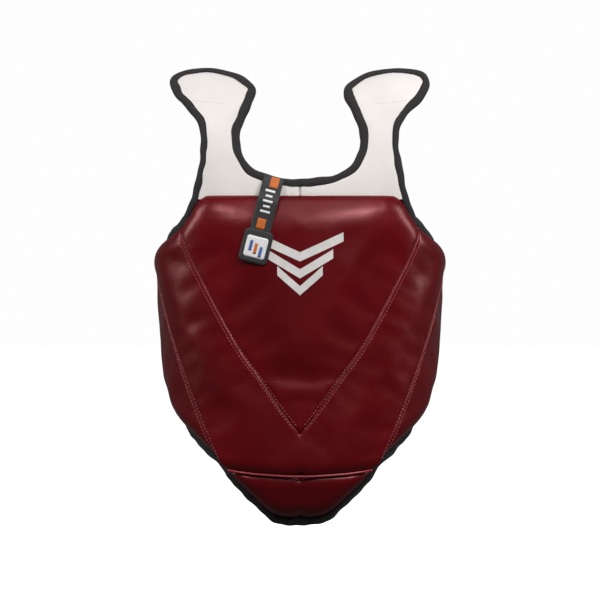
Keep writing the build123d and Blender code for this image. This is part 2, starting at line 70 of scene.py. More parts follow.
# ---------------------------------------------------------------- driving dimensions, in millimetres
# The trunk form is the frame's: every layer lies at an offset outward from the wearer's side of the lining.
PLAN_POWER = 2.4
HALF_WIDTH, WIDTH_FLARE, HALF_DEPTH = 158.0, 0.095, 114.0
SHOULDER_START, SHOULDER_RISE, SHOULDER_FLARE = 150.0, 205.0, 0.45
CREASE_Z, FLAP_LEAN = -190.0, 0.43
PAD, FLAP_PAD, YOKE_PAD, LINING = 26.0, 20.0, 8.4, 1.2
PAD_TOP_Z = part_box("chest_cover")[1][2] / MM
REAR_EDGE_X = 75.0
BINDING = 10.5
SPACING = 3.6
SHARP = math.radians(55)  # edges with a larger turn are shaded sharp

# Outlines of the wearer's left half in front view, the frame's own
NECK = [(0, 197.5), (16, 198.0), (46, 203.5), (68, 216), (79, 237), (79, 262), (67, 290)]
CAP = [(58.5, 310), (64, 322), (88, 335.5), (127, 341.5), (160, 337.5), (172.5, 325), (166, 306)]
ARMHOLE = [(140, 277.5), (131, 253), (134, 218), (144, 173), (160, 142), (174, 124)]
PAD_ARMHOLE = [(132, PAD_TOP_Z), (140, 163), (148, 148), (158, 136), (171, 127), (182, 120)]
PAD_HEM = [(98, -180), (105.5, -167.4), (119.5, -155.5), (139, -138), (165, -110)]
V_SEAM = [(159.5, 135), (141, 91), (122, 54.5), (103, 19), (76.5, -27), (48.5, -65.5), (22, -105),
          (0, -134)]
CREASE = [(98, -180), (60, -186), (16, -189.3), (0, -189.5)]
FLAP_EDGE = [(97, -181), (81, -198), (59, -219), (38, -237), (19, -243), (0, -243.5)]
SIDES = {"left": 1, "right": -1}


# ---------------------------------------------------------------- the trunk form
def half_width(z, offset):
    low = np.minimum(z, SHOULDER_START)
    return HALF_WIDTH + WIDTH_FLARE * low + SHOULDER_FLARE * np.maximum(0, z - SHOULDER_START) + offset


def half_depth(z, offset):
    climb = np.clip((z - SHOULDER_START) / (SHOULDER_RISE + offset), 0, 0.995)
    return (HALF_DEPTH + offset) * np.sqrt(1 - climb**2) - FLAP_LEAN * np.maximum(0, CREASE_Z - z)


def running_length(points):
    steps = np.hypot(*np.diff(points, axis=0).T)
    return np.concatenate([[0], np.cumsum(steps)])


def unit(vectors):
    return vectors / np.linalg.norm(vectors, axis=-1, keepdims=True)


# Pattern coordinates: u is measured round the body from the middle of the front, v up the body.
PLAN_ANGLES = np.linspace(0, math.pi, 6001)
PLAN_X = (HALF_WIDTH + PAD) * np.sin(PLAN_ANGLES) ** (2 / PLAN_POWER)
PLAN_Y = -(HALF_DEPTH + PAD) * np.sign(np.cos(PLAN_ANGLES)) * abs(np.cos(PLAN_ANGLES)) ** (2 / PLAN_POWER)
PLAN_LENGTH = running_length(np.stack([PLAN_X, PLAN_Y], axis=1))
CLIMB_Z = np.linspace(SHOULDER_START, 350, 400)
CLIMB_LENGTH = running_length(np.stack([half_depth(CLIMB_Z, YOKE_PAD), CLIMB_Z], axis=1))


def v_of(z):
    z = np.asarray(z, float)
    return np.where(z > SHOULDER_START, SHOULDER_START + np.interp(z, CLIMB_Z, CLIMB_LENGTH), z)


def z_of(v):
    v = np.asarray(v, float)
    return np.where(v > SHOULDER_START, np.interp(v - SHOULDER_START, CLIMB_LENGTH, CLIMB_Z), v)


def u_of(x, z, offset):
    """Pattern u of a point seen at x in front view, on the front half."""
    share = np.clip(abs(np.asarray(x, float)) / half_width(np.asarray(z, float), offset), 0, 1)
    return np.sign(x) * np.interp(np.arcsin(share ** (PLAN_POWER / 2)), PLAN_ANGLES, PLAN_LENGTH)


def u_back(x, offset=PAD):
    """Pattern u of a point at x on the back half."""
    share = abs(x) / (HALF_WIDTH + offset)
    angle = math.pi - math.asin(share ** (PLAN_POWER / 2))
    return math.copysign(float(np.interp(angle, PLAN_ANGLES, PLAN_LENGTH)), x)


def surface(u, v, offset):
    """Points in millimetres at pattern place (u, v) and offset."""
    u, z, offset = np.asarray(u, float), z_of(v), np.asarray(offset, float)
    angle = np.interp(abs(u), PLAN_LENGTH, PLAN_ANGLES)
    x = np.sign(u) * half_width(z, offset) * np.sin(angle) ** (2 / PLAN_POWER)
    y = -half_depth(z, offset) * np.sign(np.cos(angle)) * abs(np.cos(angle)) ** (2 / PLAN_POWER)
    return np.stack([x, y, z + 0 * u], axis=-1)


def surface_frame(u, v, offset):
    """Points at pattern places and offset, with unit vectors outward."""
    step = 0.8
    point = surface(u, v, offset)
    along_u = surface(u + step, v, offset) - surface(u - step, v, offset)
    along_v = surface(u, v + step, offset) - surface(u, v - step, offset)
    return point, unit(np.cross(unit(along_u), unit(along_v)))


# ---------------------------------------------------------------- curves in the pattern
def smooth(points, step=3.0):
    """A curve through the points, evenly divided: a Catmull-Rom spline."""
    points = np.asarray(points, float)
    ends = np.vstack([2 * points[0] - points[1], points, 2 * points[-1] - points[-2]])
    curve = []
    for a, b, c, d in zip(ends, ends[1:], ends[2:], ends[3:]):
        for s in np.linspace(0, 1, 24, endpoint=False):
            curve.append(0.5 * (2 * b + (c - a) * s + (2 * a - 5 * b + 4 * c - d) * s**2
                                + (3 * b - a - 3 * c + d) * s**3))
    curve.append(points[-1])
    return even(np.array(curve), step)


def even(curve, step=3.0):
    """The same line with points evenly spaced."""
    length = running_length(curve)
    count = max(2, int(round(length[-1] / step)) + 1)
    return at_lengths(curve, np.linspace(0, length[-1], count))


def at_lengths(curve, places):
    """Points of a curve at distances along it."""
    length = running_length(curve)
    return np.stack([np.interp(places, length, column) for column in curve.T], axis=1)


def right_of(curve):
    """Unit vectors to the right of a curve's points."""
    along = np.gradient(curve, axis=0)
    return unit(np.stack([along[:, 1], -along[:, 0]], axis=1))


def pattern(points, offset):
    """Front-view points as pattern points."""
    points = np.asarray(points, float)
    return np.stack([u_of(points[:, 0], points[:, 1], offset), v_of(points[:, 1])], axis=1)


def edge_pattern(points):
    """Pattern points of a pad's rim whose rounded edge shows at these places in front view.

    The rim is behind what shows: half way down the edge at the front, and right under it at the side.
    """
    points = np.asarray(points, float)
    share = abs(points[:, 0]) / half_width(points[:, 1], PAD)
    return pattern(points, np.interp(share, (0, 0.6, 0.8, 0.95, 1), (8, 11.5, 15, 20, PAD)))


def flip(curve):
    """The wearer's right half of a curve, in reverse."""
    return (np.asarray(curve, float) * (-1, 1))[::-1]


def joined(*curves):
    """Curves end to end, without doubled points."""
    points = [curves[0][0]]
    for curve in curves:
        for point in curve:
            if np.hypot(*(point - points[-1])) > 0.3:
                points.append(point)
    if np.hypot(*(points[0] - points[-1])) < 0.6:
        points.pop()
    return np.array(points)


def distance(points, line):
    """Distance of each point from a line."""
    best = np.full(len(points), 1e9)
    for a, b in zip(line, line[1:]):
        along = b - a
        share = np.clip(((points - a) @ along) / max(along @ along, 1e-9), 0, 1)
        best = np.minimum(best, np.hypot(*(points - a - share[:, None] * along).T))
    return best


def inside(points, loop):
    """True for points inside a closed loop."""
    result = np.zeros(len(points), bool)
    for (ax, ay), (bx, by) in zip(loop, np.roll(loop, -1, axis=0)):
        crosses = (ay > points[:, 1]) != (by > points[:, 1])
        with np.errstate(divide="ignore", invalid="ignore"):
            hit = points[:, 0] < (bx - ax) * (points[:, 1] - ay) / (by - ay) + ax
        result ^= crosses & hit
    return result


# ---------------------------------------------------------------- meshes
RINGS = (0.9, 2.2, 4.2, 7.0, 10.4)  # distances of a pad's rows of points from its rim


def make_object(name, points, faces, uvs=None):
    """Mesh object from points in millimetres. uvs are in metres, one for each point."""
    mesh = bpy.data.meshes.new(name)
    mesh.from_pydata([tuple(p) for p in np.asarray(points) * MM], [], [tuple(f) for f in faces])
    if uvs is not None:
        layer = mesh.uv_layers.new(name="pattern")
        corner_points = np.empty(len(mesh.loops), int)
        mesh.loops.foreach_get("vertex_index", corner_points)
        layer.data.foreach_set("uv", (np.asarray(uvs)[corner_points] * MM).ravel())
    mesh.polygons.foreach_set("use_smooth", [True] * len(mesh.polygons))
    mesh.update()
    piece = bpy.data.objects.new(name, mesh)
    bpy.context.scene.collection.objects.link(piece)
    return piece


def triangulate(loop, spacing):
    """Pattern triangles inside a loop: its own points first, then rings near it, then an even grid."""
    outline = np.vstack([loop, loop[:1]])
    along = np.roll(loop, -1, axis=0) - np.roll(loop, 1, axis=0)
    inward = unit(np.stack([-along[:, 1], along[:, 0]], axis=1))
    area = np.sum(loop[:, 0] * np.roll(loop[:, 1], -1) - np.roll(loop[:, 0], -1) * loop[:, 1])
    inward *= np.sign(area)
    inner = [loop]
    for ring in RINGS:
        candidates = loop + inward * ring
        clear = inside(candidates, loop) & (distance(candidates, outline) > 0.9 * ring)
        inner.append(candidates[clear])
    low, high = loop.min(axis=0), loop.max(axis=0)
    rows = np.arange(low[1], high[1], spacing * 0.866)
    grid = []
    for i, row in enumerate(rows):
        xs = np.arange(low[0] + spacing * 0.5 * (i % 2), high[0], spacing)
        grid.append(np.stack([xs, np.full(len(xs), row)], axis=1))
    grid = np.vstack(grid)
    keep = inside(grid, loop) & (distance(grid, outline) > RINGS[-1] + 0.6 * spacing)
    inner.append(grid[keep])
    points = np.vstack(inner)
    edges = [(i, (i + 1) % len(loop)) for i in range(len(loop))]
    result = delaunay_2d_cdt([Vector(p) for p in points], edges, [], 1, 1e-4)
    places = np.array([tuple(v) for v in result[0]])
    return places, [list(f) for f in result[2]]


def boundary_loop(faces):
    """The outline's vertices in order."""
    seen = {pair for face in faces for pair in zip(face, face[1:] + face[:1])}
    directed = {a: b for a, b in seen if (b, a) not in seen}
    start = next(iter(directed))
    loop = [start]
    while directed[loop[-1]] != start:
        loop.append(directed[loop[-1]])
    return loop


def closed(faces, count):
    """Faces of two equal sheets of count points each, and of the wall between their rims."""
    rim = boundary_loop(faces)
    walls = [(b, a, a + count, b + count) for a, b in zip(rim, rim[1:] + rim[:1])]
    return [tuple(f) for f in faces] + [tuple(i + count for i in reversed(f)) for f in faces] + walls


def slab(name, loop, height, floor, spacing=SPACING, puffed=False):
    """Closed piece over a pattern loop: height(points) gives its outer offset, floor is its inner one."""
    places, faces = triangulate(loop, spacing)
    top = surface(places[:, 0], places[:, 1], height(places))
    if puffed:
        top = swell(name, places, faces, top)
    bottom = surface(places[:, 0], places[:, 1], floor)
    everything = closed(faces, len(places))
    if face_outward(top, faces) < 0:
        everything = [tuple(reversed(f)) for f in everything]
    piece = make_object(name, np.vstack([top, bottom]), everything, np.vstack([places, places]))
    piece.data.set_sharp_from_angle(angle=SHARP)
    return piece


def face_outward(points, faces):
    """Positive if the first sheet's faces look away from the trunk's middle line."""
    total = 0.0
    for a, b, c in (f[:3] for f in faces[:: max(1, len(faces) // 200)]):
        normal = np.cross(points[b] - points[a], points[c] - points[a])
        centre = points[[a, b, c]].mean(axis=0)
        outward = np.array([centre[0], centre[1], 0.35 * max(0.0, centre[2] - 150)])
        total += normal @ outward
    return total


def calmed(values, faces, rounds=9):
    """Values at the points, each drawn towards its neighbours' mean, which takes out the small wrinkles."""
    pairs = np.array([(a, b) for face in faces for a, b in zip(face, face[1:] + face[:1])])
    pairs = np.vstack([pairs, pairs[:, ::-1]])
    count = np.bincount(pairs[:, 0], minlength=len(values))[:, None]
    for _ in range(rounds):
        total = np.zeros_like(values)
        np.add.at(total, pairs[:, 0], values[pairs[:, 1]])
        values = 0.4 * values + 0.6 * total / count
    return values


COVER_CLOTH = {"quality": 5, "mass": 0.25, "tension_stiffness": 40, "compression_stiffness": 40,
               "shear_stiffness": 8, "bending_stiffness": 12, "pin_stiffness": 0.6, "shrink_min": -0.010}


def swell(name, places, faces, top, pressure=2.2, most=4.0, steps=14):
    """The cover's sheet puffed by the foam: cloth pinned at its seams, a little larger than its place.

    On the back it stays as it was, flat under the closure patches.
    """
    sheet = make_object(name + "_cloth", top, faces)
    if face_outward(top, faces) < 0:
        sheet.data.flip_normals()
    rim = boundary_loop(faces)
    held = sheet.vertex_groups.new(name="held")
    edge = distance(places, places[rim + rim[:1]])
    for i, reach in enumerate(edge):
        held.add([i], 1.0 if reach < 1.2 else 0.04, "REPLACE")
    cloth = sheet.modifiers.new("Cloth", "CLOTH").settings
    for key, value in COVER_CLOTH.items():
        setattr(cloth, key, value)
    cloth.vertex_group_mass = "held"
    cloth.use_pressure = True
    cloth.uniform_pressure_force = pressure
    cloth.effector_weights.gravity = 0
    scene = bpy.context.scene
    for step in range(1, steps + 1):
        scene.frame_set(step)
    shown = sheet.evaluated_get(bpy.context.evaluated_depsgraph_get())
    moved = np.empty(len(top) * 3)
    shown.data.vertices.foreach_get("co", moved)
    moved = moved.reshape(-1, 3) / MM
    shift = calmed(moved - top, faces)
    size = np.linalg.norm(shift, axis=1, keepdims=True)
    shift *= np.minimum(1, most / np.maximum(size, 1e-6))
    shift *= np.interp(abs(places[:, 0]), (U_SIDE, U_SIDE + 60), (1, 0))[:, None]
    scene.frame_set(1)
    bpy.data.objects.remove(sheet)
    return top + shift


# ---------------------------------------------------------------- materials
def material(name):
    """Empty node material with its shader, and a function that adds a node and sets its inputs."""
    made = bpy.data.materials.new(name)
    made.use_nodes = True
    tree = made.node_tree
    shader = tree.nodes["Principled BSDF"]

    def node(kind, **inputs):
        added = tree.nodes.new(kind)
        for key, value in inputs.items():
            target = key.replace("_", " ")
            if target in added.inputs:
                if isinstance(value, bpy.types.NodeSocket):
                    tree.links.new(value, added.inputs[target])
                else:
                    added.inputs[target].default_value = value
            else:
                setattr(added, key, value)
        return added

    return made, shader, node, tree.links.new


def set_inputs(shader, **values):
    for key, value in values.items():
        shader.inputs[key.replace("_", " ")].default_value = value


def ramp(node, source, stops):
    """Colour ramp through (position, colour) stops."""
    made = node("ShaderNodeValToRGB", Fac=source)
    elements = made.color_ramp.elements
    while len(elements) < len(stops):
        elements.new(0.5)
    for element, (position, colour) in zip(elements, stops):
        element.position = position
        element.color = (*colour, 1)
    return made.outputs["Color"]


def noise(node, place, scale, detail, roughness=0.5):
    made = node("ShaderNodeTexNoise", Vector=place, Scale=scale, Detail=detail, Roughness=roughness)
    return made.outputs["Fac"]


def leather(name, colour, darker, roughness, coat, tint=(1, 1, 1), grain=0.00022):
    """Glossy synthetic leather: fine pebble grain, slow colour change, scuffs that dull the gloss."""
    made, shader, node, link = material(name)
    place = node("ShaderNodeTexCoord").outputs["Object"]
    broad = noise(node, place, 14.0, 3.0)
    link(ramp(node, broad, [(0.3, darker), (0.7, colour)]), shader.inputs["Base Color"])
    scuffs = noise(node, place, 95.0, 6.0, 0.7)
    gloss = node("ShaderNodeMapRange", Value=scuffs, To_Min=roughness - 0.07, To_Max=roughness + 0.10)
    link(gloss.outputs["Result"], shader.inputs["Roughness"])
    pebbles = node("ShaderNodeTexVoronoi", Vector=place, Scale=900.0, feature="SMOOTH_F1")
    creases = noise(node, place, 160.0, 4.0)
    fine = node("ShaderNodeBump", Strength=0.22, Distance=grain, Height=pebbles.outputs["Distance"])
    soft = node("ShaderNodeBump", Strength=0.25, Distance=0.0006, Height=creases,
                Normal=fine.outputs["Normal"])
    link(soft.outputs["Normal"], shader.inputs["Normal"])
    set_inputs(shader, Coat_Weight=coat, Coat_Roughness=0.22, Specular_IOR_Level=0.56,
               Specular_Tint=(*tint, 1))
    return made


def woven(name, colour, lighter, along=1400.0, across=900.0, depth=0.0004, roughness=0.85, sheen=0.25):
    """Woven tape or webbing: ribs over the pattern coordinates, in metres."""
    made, shader, node, link = material(name)
    pattern_place = node("ShaderNodeUVMap", uv_map="pattern").outputs["UV"]
    split = node("ShaderNodeSeparateXYZ", Vector=pattern_place)

    def maths(operation, *values):
        added = node("ShaderNodeMath", operation=operation)
        for socket, value in zip(added.inputs, values):
            if isinstance(value, bpy.types.NodeSocket):
                link(value, socket)
            else:
                socket.default_value = value
        return added.outputs[0]

    waves = [maths("SINE", maths("MULTIPLY", split.outputs[axis], rate * 2 * math.pi))
             for axis, rate in (("X", along), ("Y", across))]
    threads = node("ShaderNodeMapRange", Value=maths("MULTIPLY", *waves), From_Min=-1.0)
    fuzz = noise(node, node("ShaderNodeTexCoord").outputs["Object"], 700.0, 5.0)
    weave = maths("MULTIPLY", maths("ADD", threads.outputs["Result"], fuzz), 0.5)
    link(ramp(node, weave, [(0.25, colour), (0.8, lighter)]), shader.inputs["Base Color"])
    bump = node("ShaderNodeBump", Strength=0.8, Distance=depth, Height=weave)
    link(bump.outputs["Normal"], shader.inputs["Normal"])
    set_inputs(shader, Roughness=roughness, Sheen_Weight=sheen)
    return made


def moulded(name, colour, roughness=0.45):
    """Moulded plastic or printed film with a fine spark-eroded grain."""
    made, shader, node, link = material(name)
    place = node("ShaderNodeTexCoord").outputs["Object"]
    speckle = noise(node, place, 1500.0, 3.0)
    wear = noise(node, place, 60.0, 5.0)
    paler = tuple(min(1.0, c * 1.15 + 0.01) for c in colour)
    link(ramp(node, wear, [(0.35, colour), (0.7, paler)]), shader.inputs["Base Color"])
    bump = node("ShaderNodeBump", Strength=0.3, Distance=0.00015, Height=speckle)
    link(bump.outputs["Normal"], shader.inputs["Normal"])
    set_inputs(shader, Roughness=roughness)
    return made


RED = leather("red_leather", (0.104, 0.0003, 0.0028), (0.076, 0.0003, 0.0018), 0.31, 0.0, (1.0, 0.42, 0.43))
CREAM = leather("cream_leather", (0.72, 0.677, 0.655), (0.64, 0.60, 0.577), 0.55, 0.0)
TAPE = woven("binding_tape", (0.006, 0.005, 0.0053), (0.021, 0.0175, 0.018), 620, 420, 0.0007, sheen=0.04)
LINING_CLOTH = woven("lining_cloth", (0.02, 0.02, 0.022), (0.062, 0.062, 0.067), 300, 300, 6e-4, sheen=0.1)
WEBBING = woven("webbing", (0.010, 0.010, 0.011), (0.040, 0.040, 0.044), 500, 330, sheen=0.12)
HOOK = woven("hook_tape", (0.012, 0.012, 0.014), (0.035, 0.035, 0.038), 800, 800, 0.0009, 0.95, 0.2)
THREAD = woven("thread", (0.20, 0.010, 0.026), (0.36, 0.045, 0.06), 3000, 3000, 0.0001, 0.5)
CREAM_THREAD = woven("cream_thread", (0.55, 0.51, 0.49), (0.75, 0.71, 0.69), 3000, 3000, 0.0001, 0.5)
BLACK_THREAD = woven("black_thread", (0.03, 0.03, 0.03), (0.09, 0.09, 0.09), 3000, 3000, 0.0001, 0.5)
# The cord's own red, painted lighter than the cover's red: a painted highlight along the crease ridge.
PIPING_PAINTED_HIGHLIGHT = leather("piping_leather_painted_highlight", (0.25, 0.005, 0.014), (0.18, 0.003, 0.009), 0.34, 0.2)
PRINT = moulded("print_film", (0.60, 0.575, 0.555), 0.5)
RIBBON = woven("ribbon_weave", (0.006, 0.0055, 0.006), (0.022, 0.020, 0.021), 1500, 900, 0.0002, 0.6, 0.05)
ORANGE = woven("orange_weave", (0.42, 0.085, 0.003), (0.58, 0.145, 0.006), 1500, 900, 0.0002, 0.6, 0.03)
WHITE_WEAVE = woven("white_weave", (0.60, 0.60, 0.60), (0.82, 0.82, 0.82), 1500, 900, 0.0002, 0.6)
BLUE_WEAVE = woven("blue_weave", (0.03, 0.06, 0.25), (0.06, 0.12, 0.38), 1500, 900, 0.0002, 0.6)
PLASTIC = moulded("adjuster_plastic", (0.016, 0.016, 0.017), 0.4)


def dress(piece, finish):
    piece.data.materials.clear()
    piece.data.materials.append(finish)
    return piece


# ---------------------------------------------------------------- seams and edges
SEAM_LOW, SEAM_MID, SEAM_HIGH = np.array([(107, -117.6, -168), (153, -86.4, -55), (184.2, -42, 51)])
SEAM_NORMAL = unit(np.cross(SEAM_HIGH - SEAM_LOW, SEAM_MID - SEAM_LOW))
SEAM_NORMAL = SEAM_NORMAL * np.sign(SEAM_NORMAL[1])
U_SIDE = float(np.interp(math.pi / 2, PLAN_ANGLES, PLAN_LENGTH))
U_REAR = u_back(REAR_EDGE_X)


def beyond_seam(points):
    """Signed distance behind the left side seam's plane, at the cover."""
    return (surface(points[:, 0], points[:, 1], PAD) - SEAM_MID) @ SEAM_NORMAL


def split_at_seam(curve):
    """The curve before and after it crosses the side seam, both with the crossing."""
    behind = beyond_seam(curve)
    i = int(np.argmax(behind > 0))
    near, far = -behind[i - 1], behind[i]
    crossing = curve[i - 1] + (curve[i] - curve[i - 1]) * near / (near + far)
    return np.vstack([curve[:i], crossing]), np.vstack([crossing, curve[i:]])


def seam_between(low, high, step=3.0):
    """The side seam in the pattern, from one point up to another."""
    us = np.linspace(0, U_SIDE + 60, 700)
    points = []
    for v in np.linspace(low[1], high[1], 60)[1:-1]:
        behind = beyond_seam(np.stack([us, np.full(len(us), v)], axis=1))
        points.append((float(us[np.argmax(behind > 0)]), v))
    return even(smooth(np.array([low] + points[4:-4:6] + [high])), step)


def rounded_rear(top_z, low_z, radius=18.0):
    """The wing's rear edge with rounded corners, from its top to its bottom."""
    u = U_REAR - radius
    turns = np.linspace(0, math.pi / 2, 7)
    points = [(u + radius * math.sin(turn), top_z - radius + radius * math.cos(turn)) for turn in turns]
    points += [(u + radius * math.cos(turn), low_z + radius - radius * math.sin(turn)) for turn in turns]
    return even(np.array(points))


TOP_REAR_Z, LOW_REAR_Z = 98.0, -70.0
ARM_SIDE = [(U_SIDE - 12, 112), (U_SIDE + 18, 108), (U_SIDE + 75, 103.5), (U_REAR - 18, TOP_REAR_Z)]
HEM_SIDE = [(U_SIDE - 16, -91), (U_SIDE + 16, -82), (U_SIDE + 75, -76), (U_REAR - 18, LOW_REAR_Z)]
ARM_CURVE = smooth(np.vstack([edge_pattern(PAD_ARMHOLE), ARM_SIDE]))
HEM_CURVE = smooth(np.vstack([edge_pattern(PAD_HEM), HEM_SIDE]))
V_CURVE = smooth(pattern(V_SEAM, 24))
V_START = int(np.argmin(np.hypot(*(ARM_CURVE - V_CURVE[0]).T)))
V_CURVE[0] = ARM_CURVE[V_START]
ARM_FRONT, ARM_WING = split_at_seam(ARM_CURVE)
CREASE_CURVE = smooth(edge_pattern(CREASE))
CREASE_CURVE[0] = HEM_CURVE[0]
CREASE_FRONT, CREASE_WING = split_at_seam(CREASE_CURVE[::-1])
SIDE_SEAM = seam_between(CREASE_FRONT[-1], ARM_FRONT[-1])
TOP_EDGE = even(np.array([(0, PAD_TOP_Z), tuple(ARM_CURVE[0])]))
TOP_EDGE[:, 1] = v_of(PAD_TOP_Z)
ARM_CURVE[0][1] = ARM_FRONT[0][1] = TOP_EDGE[-1][1]
FLAP_CURVE = smooth(edge_pattern(FLAP_EDGE))
FLAP_SIDE = np.vstack([CREASE_CURVE[:1], FLAP_CURVE[1:]])
FLAP_LOOP = joined(CREASE_CURVE[::-1], FLAP_SIDE, flip(FLAP_SIDE), flip(CREASE_CURVE[::-1]))


def rounded(lines, full):
    """Height of a pad: full inside, and down an arc to each line's own height within its reach."""
    def height(points):
        result = np.full(len(points), float(full))
        for line, low, reach in lines:
            share = np.minimum(1, distance(points, line) / reach)
            arc = np.sqrt(1 - (1 - share) ** 2)
            result *= 1 - (1 - low / full) * (1 - arc)
        return result
    return height


# Height of a rim, and the distance in which the pad rises from it to its full thickness
FREE, TOP, SEAM, FOLD = (6.0, 28.0), (8.0, 46.0), (24.2, 8.0), (14.0, 16.0)


def both_halves(curve):
    """A curve that starts in the middle of the front, with its mirror image before it."""
    return joined(flip(curve), curve)


def red_pad(name, loop, lines, full=PAD):
    piece = slab(name, loop, rounded(lines, full), LINING, puffed=True)
    return dress(piece, RED)


def chest():
    top, arm = both_halves(TOP_EDGE), ARM_CURVE[:V_START + 1]
    loop = joined(top, arm, V_CURVE, flip(V_CURVE), flip(arm))
    lines = [(top, *TOP), (arm, *FREE), (flip(arm), *FREE), (V_CURVE, *SEAM), (flip(V_CURVE), *SEAM)]
    piece = red_pad("chest_pad", loop, lines)
    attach(piece, "front")
    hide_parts("chest_cover", "chest_foam")
    return piece


def midriff():
    arm, seam = ARM_FRONT[V_START:], SIDE_SEAM
    right = joined(V_CURVE[::-1], arm, seam[::-1], CREASE_FRONT[::-1])
    loop = joined(right, flip(right))
    lines = [(V_CURVE, *SEAM), (arm, *FREE), (seam, *SEAM), (CREASE_FRONT, *FOLD)]
    lines += [(flip(line), low, reach) for line, low, reach in lines]
    piece = red_pad("midriff_pad", loop, lines)
    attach(piece, "front")
    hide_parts("midriff_cover", "midriff_foam")
    return piece


def half(curve, side):
    """A curve of the wearer's left half for side 1, or its mirror image for side -1."""
    return np.asarray(curve) * (side, 1)


def wing(name, side):
    rear = rounded_rear(TOP_REAR_Z, LOW_REAR_Z)
    left_loop = joined(SIDE_SEAM, ARM_WING, rear, HEM_CURVE[::-1], CREASE_WING[::-1])
    lines = [(SIDE_SEAM, *SEAM), (ARM_WING, *FREE), (rear, *FREE), (HEM_CURVE, *FREE), (CREASE_WING, *FOLD)]
    lines = [(half(line, side), low, reach) for line, low, reach in lines]
    piece = red_pad(f"wing_pad_{name}", half(left_loop, side), lines)
    wing_blend(piece)
    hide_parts(f"wing_cover_{name}", f"wing_foam_{name}")
    return piece


def wing_blend(piece):
    """Bakes the piece's placement into its mesh."""
    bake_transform(piece)


def flap_blend(piece):
    """Bakes the piece's placement into its mesh."""
    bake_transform(piece)


def groin():
    lines = [(CREASE_CURVE, 12.0, 16.0), (FLAP_SIDE, 6.0, 20.0)]
    lines += [(flip(line), low, reach) for line, low, reach in lines]
    piece = red_pad("groin_pad", FLAP_LOOP, lines, FLAP_PAD + 2)
    flap_blend(piece)
    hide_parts("groin_cover", "groin_foam")


# ---------------------------------------------------------------- yoke, caps and linings
def upper_half(inset_by):
    """Neckline, cap and armhole of the wearer's left half, moved in, from the middle of the neck."""
    curve = smooth(pattern(NECK + CAP + ARMHOLE, YOKE_PAD), 2.6)
    moved = beside(curve, inset_by)
    moved[0, 0] = 0.0
    return moved


def above_level(edge, low_v):
    """The neckline, cap and armhole as far as the armhole stays above a level."""
    return edge[:np.argmax((edge[:, 1] < low_v) & (edge[:, 0] > 100))]


def cap_blend(piece, u=90.0, still_z=268.0, turned_z=322.0):
    """Works out points below and above the cap's fold, which nothing uses, and bakes the piece's placement
    into its mesh.
    """
    start = surface(u, v_of(still_z), YOKE_PAD)
    end = surface(u, v_of(turned_z), YOKE_PAD)
    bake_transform(piece)


def yoke(name, side):
    low_v = v_of(PAD_TOP_Z - 5)
    edge = above_level(upper_half(1.5), low_v)
    edge[-1, 1] = low_v
    gap = 0.15
    centre = even(np.array([(gap, low_v), (gap, edge[0, 1])]))
    bottom = even(np.array([tuple(edge[-1]), (gap, low_v)]))
    edge[0, 0] = gap
    loop = joined(centre, edge, bottom)
    lines = [(half(edge, side), 5.4, 15.0), (half(centre, side), 6.6, 5.0)]
    piece = slab(f"yoke_{name}", half(loop, side), rounded(lines, YOKE_PAD + 1.2), LINING, 3.4)
    cap_blend(piece)
    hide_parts(f"yoke_cover_{name}", f"yoke_foam_{name}", f"cap_cover_{name}", f"cap_foam_{name}")
    return dress(piece, CREAM)


def lining_sheet(name, loop, clear=0.05, spacing=6.0):
    """Cloth on the wearer's side of a pad, a little clear of the pad's inner face."""
    piece = slab(name, loop, lambda points: np.full(len(points), LINING - clear), 0.0, spacing)
    return dress(piece, LINING_CLOTH)


def hem_line(less=0.0, extra=4.0):
    """The hem's outer edge: past the pad's rim, so that it shows under the pad from the front.

    It starts a little before the pad's hem does, under the end of the crease.
    """
    reach = np.interp(HEM_CURVE[:, 0], (120, 150, 200, U_SIDE, U_SIDE + 60), (9.5, 13, 16, 11, 6))
    line = smooth(beside(HEM_CURVE, (reach - less)[:, None])[::6])
    ahead = line[0] - line[2]
    return np.vstack([line[0] + ahead / np.hypot(*ahead) * extra, line])


def front_lining(name, side):
    """One half of the lining from the cap down to the crease, with a seam up the middle."""
    upper = above_level(upper_half(1.0), PAD_TOP_Z)
    arm = ARM_FRONT[ARM_FRONT[:, 1] < PAD_TOP_Z - 3]
    centre = even(np.array([(0, CREASE_CURVE[-1, 1]), (0, upper[0, 1])]))
    loop = joined(centre, upper, arm, SIDE_SEAM[::-1], CREASE_FRONT[:0:-1])
    piece = lining_sheet(f"front_lining_{name}", half(loop, side))
    cap_blend(piece)
    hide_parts("front_lining", f"cap_lining_{name}")


def wing_lining(name, side):
    rear = rounded_rear(TOP_REAR_Z, LOW_REAR_Z)
    loop = half(joined(SIDE_SEAM, ARM_WING, rear, hem_line(2.5)[::-1], CREASE_WING[::-1]), side)
    piece = lining_sheet(f"wing_lining_sheet_{name}", loop)
    wing_blend(piece)
    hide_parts(f"wing_lining_{name}")


def groin_lining():
    piece = lining_sheet("groin_lining_sheet", FLAP_LOOP)
    flap_blend(piece)
    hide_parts("groin_lining")


# ---------------------------------------------------------------- bindings, piping and stitches
def waver(length, amount, seed):
    """A slow, even unsteadiness along a line."""
    phases = np.random.default_rng(seed).uniform(0, 2 * math.pi, 4)
    waves = sum(np.sin(length / reach + phase) for reach, phase in zip((4.3, 7.9, 13.0, 23.0), phases))
    return amount * waves / 2.5


# The folded tape's cross section: shares of its width in from the edge, and of half its height
TAPE_PROFILE = [(1.0, 0.86), (0.82, 1.02), (0.5, 1.08), (0.22, 1.02), (0.05, 0.76), (-0.02, 0.4),
                (-0.03, 0.0), (-0.02, -0.4), (0.05, -0.76), (0.22, -1.02), (0.5, -1.04), (0.82, -1.0),
                (1.0, -0.84), (0.9, -0.5), (0.86, 0.0), (0.9, 0.5)]


